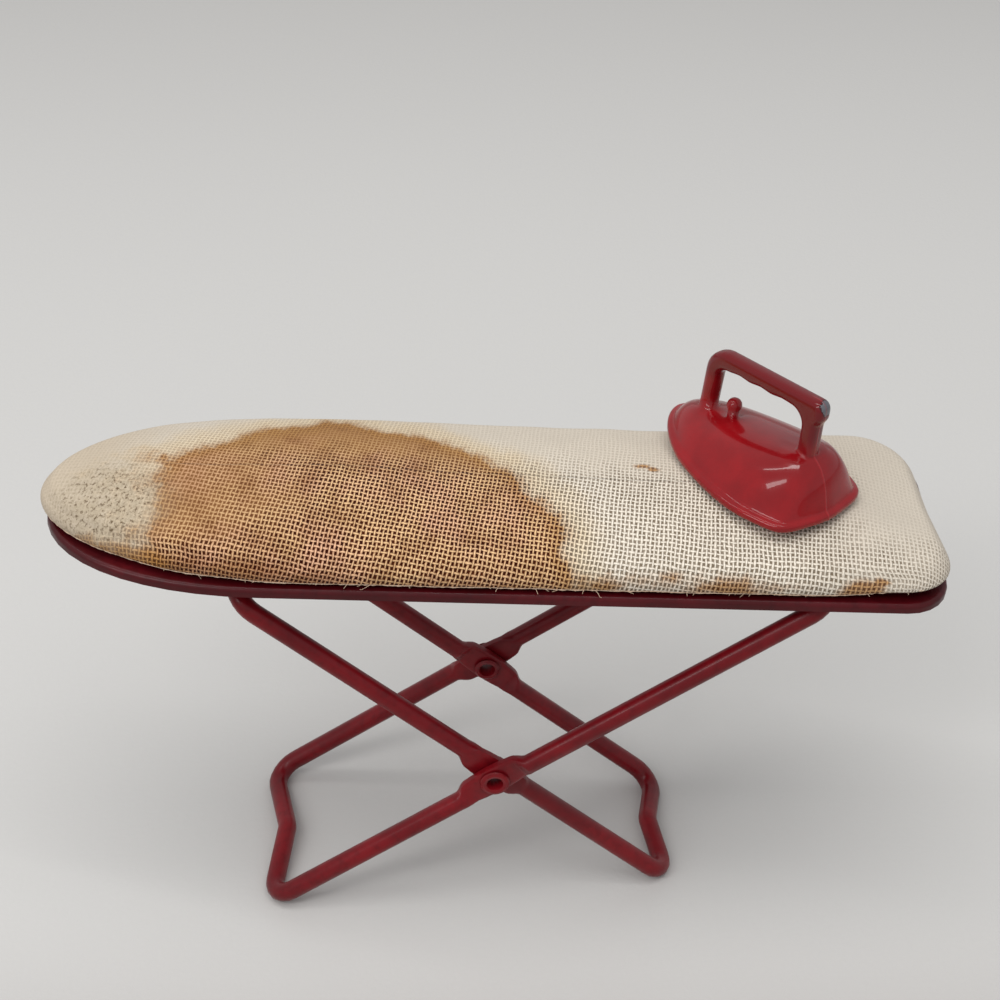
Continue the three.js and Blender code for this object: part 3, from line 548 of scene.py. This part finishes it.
def flat_places(rows, inward, edge_row):
    """Where each point of the cloth lay before it was drawn down over the side."""
    flat = rows[..., :2].copy()
    for r in range(edge_row - 1, -1, -1):
        step = np.linalg.norm(rows[r] - rows[r + 1], axis=1)
        flat[r] = flat[r + 1] - inward * step[:, None]
    return flat


def grid_faces(row_count, column_count):
    """Faces between rows of points that each run all round."""
    faces = []
    for here in range(0, (row_count - 1) * column_count, column_count):
        above = here + column_count
        for c in range(column_count):
            beside = (c + 1) % column_count
            faces.append((here + c, here + beside, above + beside, above + c))
    return faces


def swell(points, faces, held):
    """Lets the held skin swell a little as stuffed cloth does, and gives each point's move."""
    mesh = bpy.data.meshes.new("swelling")
    mesh.from_pydata([tuple(p) for p in points * ENLARGED], [], faces)
    skin = bpy.data.objects.new("swelling", mesh)
    scene.collection.objects.link(skin)
    pins = skin.vertex_groups.new(name="held")
    pins.add([int(i) for i in np.flatnonzero(held)], 1.0, "REPLACE")
    cloth = skin.modifiers.new("cloth", "CLOTH")
    settings = cloth.settings
    settings.quality = 4
    settings.mass = 0.3
    settings.tension_stiffness = settings.compression_stiffness = 8
    settings.shear_stiffness = 3
    settings.bending_stiffness = 0.6
    settings.use_pressure = True
    settings.uniform_pressure_force = 2.5
    settings.vertex_group_mass = "held"
    settings.effector_weights.gravity = 0
    cloth.collision_settings.use_collision = False
    cloth.point_cache.frame_start = 1
    cloth.point_cache.frame_end = SWELL_STEPS
    for step in range(1, SWELL_STEPS + 1):
        scene.frame_set(step)
    evaluated = skin.evaluated_get(bpy.context.evaluated_depsgraph_get())
    moved = np.empty(len(points) * 3, np.float32)
    evaluated.data.vertices.foreach_get("co", moved)
    moves = moved.reshape(-1, 3) / ENLARGED - points
    bpy.data.objects.remove(skin)
    bpy.data.meshes.remove(mesh)
    scene.frame_set(1)
    reach = np.linalg.norm(moves, axis=1, keepdims=True)
    return moves * np.minimum(1, SWELL_MOST / np.maximum(reach, 1e-9))


def ripples(points, scale, seed):
    """Smooth noise at each point, from about -1 to 1."""
    places = np.asarray(points) * scale + (seed, 0, 0)
    return np.array([perlin.noise(Vector(place)) for place in places])


# The big stain's outline, in board millimetres.
STAIN = (
    (-46.8, -2.6), (-43.5, -0.8), (-44.2, 0.8), (-42.7, 2.2), (-38.4, 4.3), (-33.8, 6.8),
    (-30.8, 9.3), (-25.5, 10.4), (-22.2, 13), (-18.1, 12.2), (-14.2, 9.6), (-10, 9.5),
    (-7.4, 7.5), (-3.1, 4.4), (0.9, 1.8), (3, -0.4), (3.8, -3.2), (6, -4.9),
    (7.3, -7.3), (8.2, -10.9), (7.7, -13.1), (8.2, -15.1), (8.6, -20), (-20, -21),
    (-40, -21), (-48, -17.5), (-49.5, -13.4), (-45.5, -11.3), (-43.8, -8.2), (-43.8, -5),
)
# Soft oval spots: where along and across, how wide both ways, and how strong.
# The small marks along the hem, at the nose and by the iron.
MARKS = (
    (20.5, -15.6, 2.4, 1.1, 0.95), (28.3, -17, 5.8, 2.1, 1.1), (24, -17.6, 3, 1.3, 0.8),
    (37, -18.2, 5, 1.0, 0.7), (11.5, -17.2, 5, 2.1, 0.9), (44.3, -17, 3.0, 1.7, 1.3),
    (46.4, -15.8, 0.9, 0.45, 1.9), (18.4, 3, 1.3, 0.6, 1.4), (-49, -13.4, 4.2, 2.2, 1.7),
    (-46, -14.4, 4.2, 2.2, 1.6), (-53, -10.8, 2.8, 1.4, 1.4), (19.8, 2.3, 0.6, 0.4, 1.8),
    (-46, -10.6, 2.6, 2.0, 0.75), (18, -16.2, 10, 1.7, 0.6), (33, -16.6, 8, 1.3, 0.55),
)
# Where the brown lies deepest.
DEEP = (
    (-40.5, -15.4, 7, 2.2, 0.9), (-32.5, -16.2, 8, 2.4, 1.0), (-24, -17.2, 8, 1.9, 0.8),
    (-12, -18, 12, 1.3, 0.5), (-28.8, -12.6, 2.4, 1.6, 0.5), (-37, -11.5, 4, 2, 0.35),
    (-43.2, -1.5, 2.2, 3.2, 0.45), (-36, 4.2, 5, 1.6, 0.4), (-22.5, 11.5, 7, 1.8, 0.5),
    (3, -6, 2.6, 4, 0.45), (6.5, -14, 1.8, 5, 0.4), (-9, 7.2, 6, 1.8, 0.45),
)


def spots(along, across, listed):
    """The strongest of the listed soft oval spots at each place."""
    strength = np.zeros(len(along))
    for x, y, wide, deep, most in listed:
        off = ((along - x) / wide) ** 2 + ((across - y) / deep) ** 2
        strength = np.maximum(strength, most * np.exp(-off))
    return strength


def signed_distance(points, polygon):
    """Millimetres inside a closed outline, less than zero outside."""
    corners = np.array(polygon, float)
    ends = np.roll(corners, -1, axis=0)
    nearest = np.full(len(points), 1e9)
    inside = np.zeros(len(points), bool)
    for a, b in zip(corners, ends):
        way = b - a
        share = np.clip(((points - a) @ way) / (way @ way), 0, 1)
        nearest = np.minimum(nearest, np.linalg.norm(points - a - share[:, None] * way, axis=1))
        crosses = (a[1] > points[:, 1]) != (b[1] > points[:, 1])
        with np.errstate(divide="ignore", invalid="ignore"):
            at = (b[0] - a[0]) * (points[:, 1] - a[1]) / (b[1] - a[1]) + a[0]
        inside ^= crosses & (points[:, 0] < at)
    return np.where(inside, nearest, -nearest)


def set_attribute(mesh, name, values):
    """A value at each point, for the materials to read."""
    layer = mesh.attributes.new(name, "FLOAT", "POINT")
    layer.data.foreach_set("value", np.asarray(values, np.float32))


def raised(points, height):
    """The points with this much added to the height of each."""
    return points + np.outer(height, (0, 0, 1))


def lay_weave(mesh, flat):
    """Thread counts as a UV map, with the threads leaning as the cloth was pulled."""
    along, across = flat.T
    lean = -0.175 + 0.0022 * along
    first = THREADS_ALONG * (along + across * lean)
    second = THREADS_ACROSS * (across + 0.16 * along - 0.0008 * along**2)
    counts = np.column_stack([first, second]) + THREADS_START
    layer = mesh.uv_layers.new(name="weave")
    corner = np.empty(len(mesh.loops), np.int32)
    mesh.loops.foreach_get("vertex_index", corner)
    layer.data.foreach_set("uv", counts[corner].astype(np.float32).ravel())


def wear_cloth(mesh, flat, level):
    """What the cloth's material reads at each point: stains, felted places, and where the side under
    the hem is painted with shade.
    """
    along, across = flat.T
    set_attribute(mesh, "stain", signed_distance(flat, STAIN))
    set_attribute(mesh, "marks", spots(along, across, MARKS))
    set_attribute(mesh, "deep", spots(along, across, DEEP))
    nose = np.exp(-(((along + 49) / 7.5) ** 2) - ((across + 6) / 7.0) ** 2)
    set_attribute(mesh, "nose", nose)
    set_attribute(mesh, "back", smoothstep(across, 0, 11))
    tip = 1 - smoothstep(along, -52, -38)
    set_attribute(mesh, "tip", tip)
    far = smoothstep(across, 6, 13)
    tail = smoothstep(along, 34, 48) * (0.45 + 0.5 * smoothstep(across, -13, -4))
    set_attribute(mesh, "tail", np.maximum(tail, far))
    behind = 0.95 * smoothstep(across, -6, 8)
    nose_side = 0.95 * (1 - smoothstep(along, -40, -14)) * smoothstep(across, -16, -8)
    felt = np.max([nose * 1.2, far, tip * 0.95, behind, tail, nose_side], axis=0)
    set_attribute(mesh, "felt", np.clip(felt, 0, 1))
    # Where the side under the hem is painted with shade.
    set_attribute(mesh, "under", 1 - smoothstep(level, HEM_ROW - 2, HEM_ROW))


def make_pad():
    """The cloth cover, in place of its plain solid. Gives the hem's line and the way inward from it."""
    rows, inward = pad_rows()
    flat = flat_places(rows, inward, TOP_ROW).reshape(-1, 2)
    points = rows.reshape(-1, 3)
    faces = grid_faces(*rows.shape[:2])
    level = np.repeat(np.arange(len(rows)), rows.shape[1]).astype(float)
    # The skin is never quite even, and the hem runs in shallow waves.
    uneven = ripples(points, 0.055, 3.0) * 0.28 + ripples(points, 0.17, 11.0) * 0.13
    points = raised(points, uneven * smoothstep(level, HEM_ROW, EDGE_ROW))
    points = points + swell(points, faces, level <= HEM_ROW)
    plan = points * (1, 1, 0)
    hem_wave = ripples(plan, 0.16, 40.0) * 0.16 + ripples(plan, 0.5, 70.0) * 0.06
    low = (1 - smoothstep(level, HEM_ROW, EDGE_ROW - 2)) * smoothstep(level, 0, 4)
    # The pad's tail curls up from the tray on its near side.
    curl = TAIL_CURL * smoothstep(points[:, 0], 38, 50) * (1 - smoothstep(points[:, 1], 0, 11))
    points = raised(points, (hem_wave + curl) * low)
    piece = new_piece("cloth_cover", to_world(points), faces, CLOTH_FINISH, None)
    lay_weave(piece.data, flat)
    wear_cloth(piece.data, flat, level)
    weld = piece.modifiers.new("weld", "WELD")
    weld.merge_threshold = 1e-6
    smooth = piece.modifiers.new("finer", "SUBSURF")
    smooth.levels = smooth.render_levels = 1
    thick = piece.modifiers.new("cloth", "SOLIDIFY")
    thick.thickness = CLOTH * MM
    thick.offset = -1
    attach(piece, "board")
    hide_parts("pad_cover")
    return points.reshape(rows.shape)[HEM_ROW], inward


# ---- The hem: its worn edge and the threads that have worked loose
def tube(path, radii, sides=6, closed=False):
    """Points and faces of a round tube along a path of points."""
    path = np.asarray(path, float)
    if closed:
        way = np.roll(path, -1, axis=0) - np.roll(path, 1, axis=0)
    else:
        way = np.gradient(path, axis=0)
    way /= np.linalg.norm(way, axis=1, keepdims=True)
    beside = np.cross(way, (0.13, 0.21, 0.97))
    beside /= np.linalg.norm(beside, axis=1, keepdims=True)
    above = np.cross(beside, way)
    turn = np.linspace(0, 2 * math.pi, sides, endpoint=False)
    ring = np.cos(turn)[None, :, None] * beside[:, None] + np.sin(turn)[None, :, None] * above[:, None]
    points = (path[:, None] + ring * np.asarray(radii)[:, None, None]).reshape(-1, 3)
    count = len(path)
    faces = []
    for i in range(count if closed else count - 1):
        after = (i + 1) % count
        for s in range(sides):
            t = (s + 1) % sides
            faces.append((i * sides + s, i * sides + t, after * sides + t, after * sides + s))
    if not closed:
        faces.append(tuple(range(sides - 1, -1, -1)))
        faces.append(tuple((count - 1) * sides + s for s in range(sides)))
    return points, faces


def make_hem(line, inward):
    """The cloth's cut edge, which shows as a pale uneven cord, with short loose threads along it."""
    outward = np.column_stack([-inward, np.zeros(len(line))])
    fine = np.arange(len(line) * 3) / 3
    ahead = np.arange(len(line) + 1)
    closed = np.vstack([line, line[:1]])
    out = np.vstack([outward, outward[:1]])
    path = np.column_stack([np.interp(fine, ahead, closed[:, i]) for i in range(3)])
    away = np.column_stack([np.interp(fine, ahead, out[:, i]) for i in range(3)])
    rough = ripples(path, 0.9, 5.0)
    sway = np.outer(ripples(path, 1.7, 23.0), (0, 0, 0.07))
    path = path + away * (0.02 + 0.07 * rough)[:, None] + sway
    radii = CORD_RADIUS + CORD_UNEVEN * ripples(path, 2.6, 31.0)
    points, faces = tube(path, radii, closed=True)
    pieces = [(points, faces)]
    rng = np.random.default_rng(THREAD_SEED)
    near = np.flatnonzero((path[:, 1] < -13) & (path[:, 0] > -45) & (path[:, 0] < 52))
    for start in rng.choice(near, LOOSE_THREADS, replace=False):
        length = rng.uniform(0.2, 0.65) * (2 if rng.random() < 0.12 else 1)
        heading = away[start] * rng.uniform(0.2, 0.5)
        heading = heading + (rng.normal(0, 0.9), 0, rng.uniform(-0.9, 0.3))
        heading /= np.linalg.norm(heading)
        bend = rng.normal(0, 1.5, 3) * (1, 0.25, 1)
        steps = np.linspace(-0.12, 1, 9)
        thread = path[start] + length * (steps[:, None] * heading + (steps**2)[:, None] * bend * 0.45)
        # It hangs over the tray's rim, never into it.
        thread[:, 2] = np.maximum(thread[:, 2], THREAD_LOWEST)
        pieces.append(tube(thread, np.linspace(0.05, 0.025, len(thread)), sides=5))
    points, faces = [], []
    for more, sides in pieces:
        start = sum(len(p) for p in points)
        points.append(more)
        faces.extend(tuple(v + start for v in face) for face in sides)
    hem = new_piece("hem_edge", to_world(np.vstack(points)), faces, THREAD, "board")


make_hem(*make_pad())


# ---- The iron
def neighbour_means(values, one, other, counts):
    """The mean of each point's neighbours, from the two ends of all edges."""
    total = np.zeros_like(values)
    for axis in range(3):
        total[:, axis] += np.bincount(one, values[other, axis], minlength=len(values))
        total[:, axis] += np.bincount(other, values[one, axis], minlength=len(values))
    return total / counts


def coordinates(mesh, what="co"):
    """The places or normals of a mesh's points."""
    values = np.empty(len(mesh.vertices) * 3, np.float32)
    mesh.vertices.foreach_get(what, values)
    return values.reshape(-1, 3)


def make_iron():
    """The iron as one casting, in place of its plain solid."""
    heading = math.radians(IRON_HEADING)
    turned, beside = math.cos(heading), math.sin(heading)
    spin = np.array(((turned, beside, 0), (-beside, turned, 0), (0, 0, 1)))
    foot = float(pad_top(IRON_HEEL[0], 1)) + IRON_GAP
    axes = np.array([ALONG, ACROSS, UP])
    cast = nodes["iron"].data.copy()
    board = (coordinates(cast) - np.array(ORIGIN)) @ axes.T / MM
    local = (board - (*IRON_HEEL, foot)) @ spin.T
    cast.vertices.foreach_set("co", (local * ENLARGED).astype(np.float32).ravel())
    rough = bpy.data.objects.new("iron_rough", cast)
    scene.collection.objects.link(rough)
    # The casting's parts run into each other with soft fillets.
    for kind, settings in (
        ("WELD", {"merge_threshold": 1e-6}),
        ("REMESH", {"mode": "VOXEL", "voxel_size": IRON_VOXEL}),
        ("SMOOTH", {"factor": 0.5, "iterations": 6}),
    ):
        modifier = rough.modifiers.new(kind.lower(), kind)
        for key, value in settings.items():
            setattr(modifier, key, value)
    evaluated = rough.evaluated_get(bpy.context.evaluated_depsgraph_get())
    mesh = bpy.data.meshes.new_from_object(evaluated)
    bpy.data.objects.remove(rough)
    smooth = coordinates(mesh) / ENLARGED
    # The body's sides were polished smooth: its own waves go, the lip and the posts stay.
    ends = np.empty(len(mesh.edges) * 2, np.int32)
    mesh.edges.foreach_get("vertices", ends)
    one, other = ends.reshape(-1, 2).T
    counts = np.bincount(ends, minlength=len(smooth))[:, None]
    body = smoothstep(smooth[:, 2], 1.3, 2.2) * (1 - smoothstep(smooth[:, 2], 6.6, 7.4))
    for share in (0.5, -0.51) * IRON_POLISHES:
        smooth += share * body[:, None] * (neighbour_means(smooth, one, other, counts) - smooth)
    # The heel's two corners stand out a little.
    corner = np.exp(-(((smooth[:, 0] - 2.0) / 1.9) ** 2)) * smoothstep(np.abs(smooth[:, 1]), 2.5, 6.5)
    smooth[:, 0] -= HEEL_CORNER_OUT * corner
    smooth[:, 1] *= 1 + HEEL_CORNER_WIDER * corner
    placed = to_world(smooth @ spin + (*IRON_HEEL, foot))
    mesh.vertices.foreach_set("co", placed.astype(np.float32).ravel())
    local_place = mesh.attributes.new("iron_place", "FLOAT_VECTOR", "POINT")
    local_place.data.foreach_set("vector", smooth.astype(np.float32).ravel())
    mesh.materials.clear()
    mesh.materials.append(IRON_FINISH)
    mesh.shade_smooth()
    # The enamel flowed out over the body, so its shine shows none of the facets below.
    normals = coordinates(mesh, "normal").astype(float)
    body = smoothstep(smooth[:, 2], 1.6, 2.4) * (1 - smoothstep(smooth[:, 2], 6.2, 7.2))
    for _ in range(IRON_EVENINGS):
        normals += body[:, None] * (neighbour_means(normals, one, other, counts) - normals)
    normals /= np.linalg.norm(normals, axis=1, keepdims=True)
    mesh.normals_split_custom_set_from_vertices([tuple(n) for n in normals])
    mesh.name = "iron_casting"
    casting = bpy.data.objects.new("iron_casting", mesh)
    scene.collection.objects.link(casting)
    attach(casting, "loose_iron")
    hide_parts("iron")


make_iron()


# ---- Floor, light and camera
FLOOR_HALF = 3.0
WORLD_COLOUR, WORLD_STRENGTH = (0.96, 0.98, 1.0, 1), 0.6
BY_THE_IRON = (0.035, 0, 0.07)
# Each lamp, in metres and watts: its place, what it looks at, its size, its power, whether gloss
# shows it, and the direction that its length lies along.
LAMPS = (
    ("ceiling", (-0.04, -0.2, 0.85), (0, 0, 0.05), (0.95, 0.7), 3.45, False, (1, 0, 0)),
    ("tube_upper", (-0.1, -0.02, 0.62), BY_THE_IRON, (0.72, 0.035), 0.8, True, (0.63, -0.25, 0.18)),
    ("tube_lower", (-0.28, -0.31, 0.43), BY_THE_IRON, (0.44, 0.09), 0.85, True, (0.35, -0.11, 0.22)),
)


def make_floor():
    """A pale cloth-like floor, with painted shade making it a little darker far behind and close to the
    camera.
    """
    m = Nodes("pale_floor")
    place = m.object_place()
    depth = m.add("ShaderNodeSeparateXYZ", {"Vector": place}).outputs[1]
    # Painted shade: the floor's colour is darker far behind and close to the camera.
    far = m.remap(depth, 0.12, 0.5)
    near = m.remap(depth, -0.01, -0.055)
    base = m.mix(m.noise(place, 5, 3), colour(195, 193, 190), colour(200, 198, 195))
    base = m.mix(far, base, colour(161, 158, 155))
    base = m.mix(near, base, colour(178, 174, 171))
    grain = m.bump(m.noise(place, 1400, 2), 0.0001, 0.4)
    m.shade(Base_Color=base, Roughness=0.95, Normal=grain, Specular_IOR_Level=0.1)
    half = FLOOR_HALF
    corners = [(-half, -half, 0), (half, -half, 0), (half, half, 0), (-half, half, 0)]
    floor = new_piece("floor", corners, [(0, 1, 2, 3)], m.material, None)


def area_light(name, place, target, size, power, glossy, along):
    """A soft lamp, turned to its target."""
    light = bpy.data.lights.new(name, "AREA")
    light.energy = power
    light.shape = "RECTANGLE"
    light.size, light.size_y = size
    lamp = bpy.data.objects.new(name, light)
    scene.collection.objects.link(lamp)
    lamp.visible_glossy = glossy
    away = (Vector(place) - Vector(target)).normalized()
    upward = away.cross(Vector(along)).normalized()
    axes = Matrix((upward.cross(away), upward, away)).transposed().to_4x4()
    lamp.matrix_world = Matrix.Translation(place) @ axes


def make_camera():
    """The camera of the photograph, from its fitted angles and place."""
    (cy, sy), (cp, sp), (cr, sr) = (
        (math.cos(math.radians(angle)), math.sin(math.radians(angle))) for angle in (YAW, PITCH, ROLL)
    )
    yawed = Matrix(((cy, sy, 0), (-sy, cy, 0), (0, 0, 1)))
    level = Matrix(((1, 0, 0), (0, 0, -1), (0, 1, 0)))
    pitched = Matrix(((1, 0, 0), (0, cp, -sp), (0, sp, cp)))
    rolled = Matrix(((cr, -sr, 0), (sr, cr, 0), (0, 0, 1)))
    view = rolled @ pitched @ level @ yawed
    place = -(view.transposed() @ Vector(CAMERA_OFFSET)) - Vector(FIT_SHIFT)
    data = bpy.data.cameras.new("camera")
    data.sensor_width = SENSOR_WIDTH
    data.lens = FOCAL_PIXELS / IMAGE_SIDE * SENSOR_WIDTH
    data.clip_start, data.clip_end = 0.01, 20
    camera = bpy.data.objects.new("camera", data)
    scene.collection.objects.link(camera)
    axes = Matrix((view[0], -view[1], -view[2])).transposed().to_4x4()
    camera.matrix_world = Matrix.Translation(place * MM) @ axes
    scene.camera = camera


make_floor()
make_camera()
world = bpy.data.worlds.new("room")
world.use_nodes = True
sky = world.node_tree.nodes["Background"]
sky.inputs["Color"].default_value = WORLD_COLOUR
sky.inputs["Strength"].default_value = WORLD_STRENGTH
scene.world = world
for lamp in LAMPS:
    area_light(*lamp)
scene.view_settings.view_transform = "Standard"
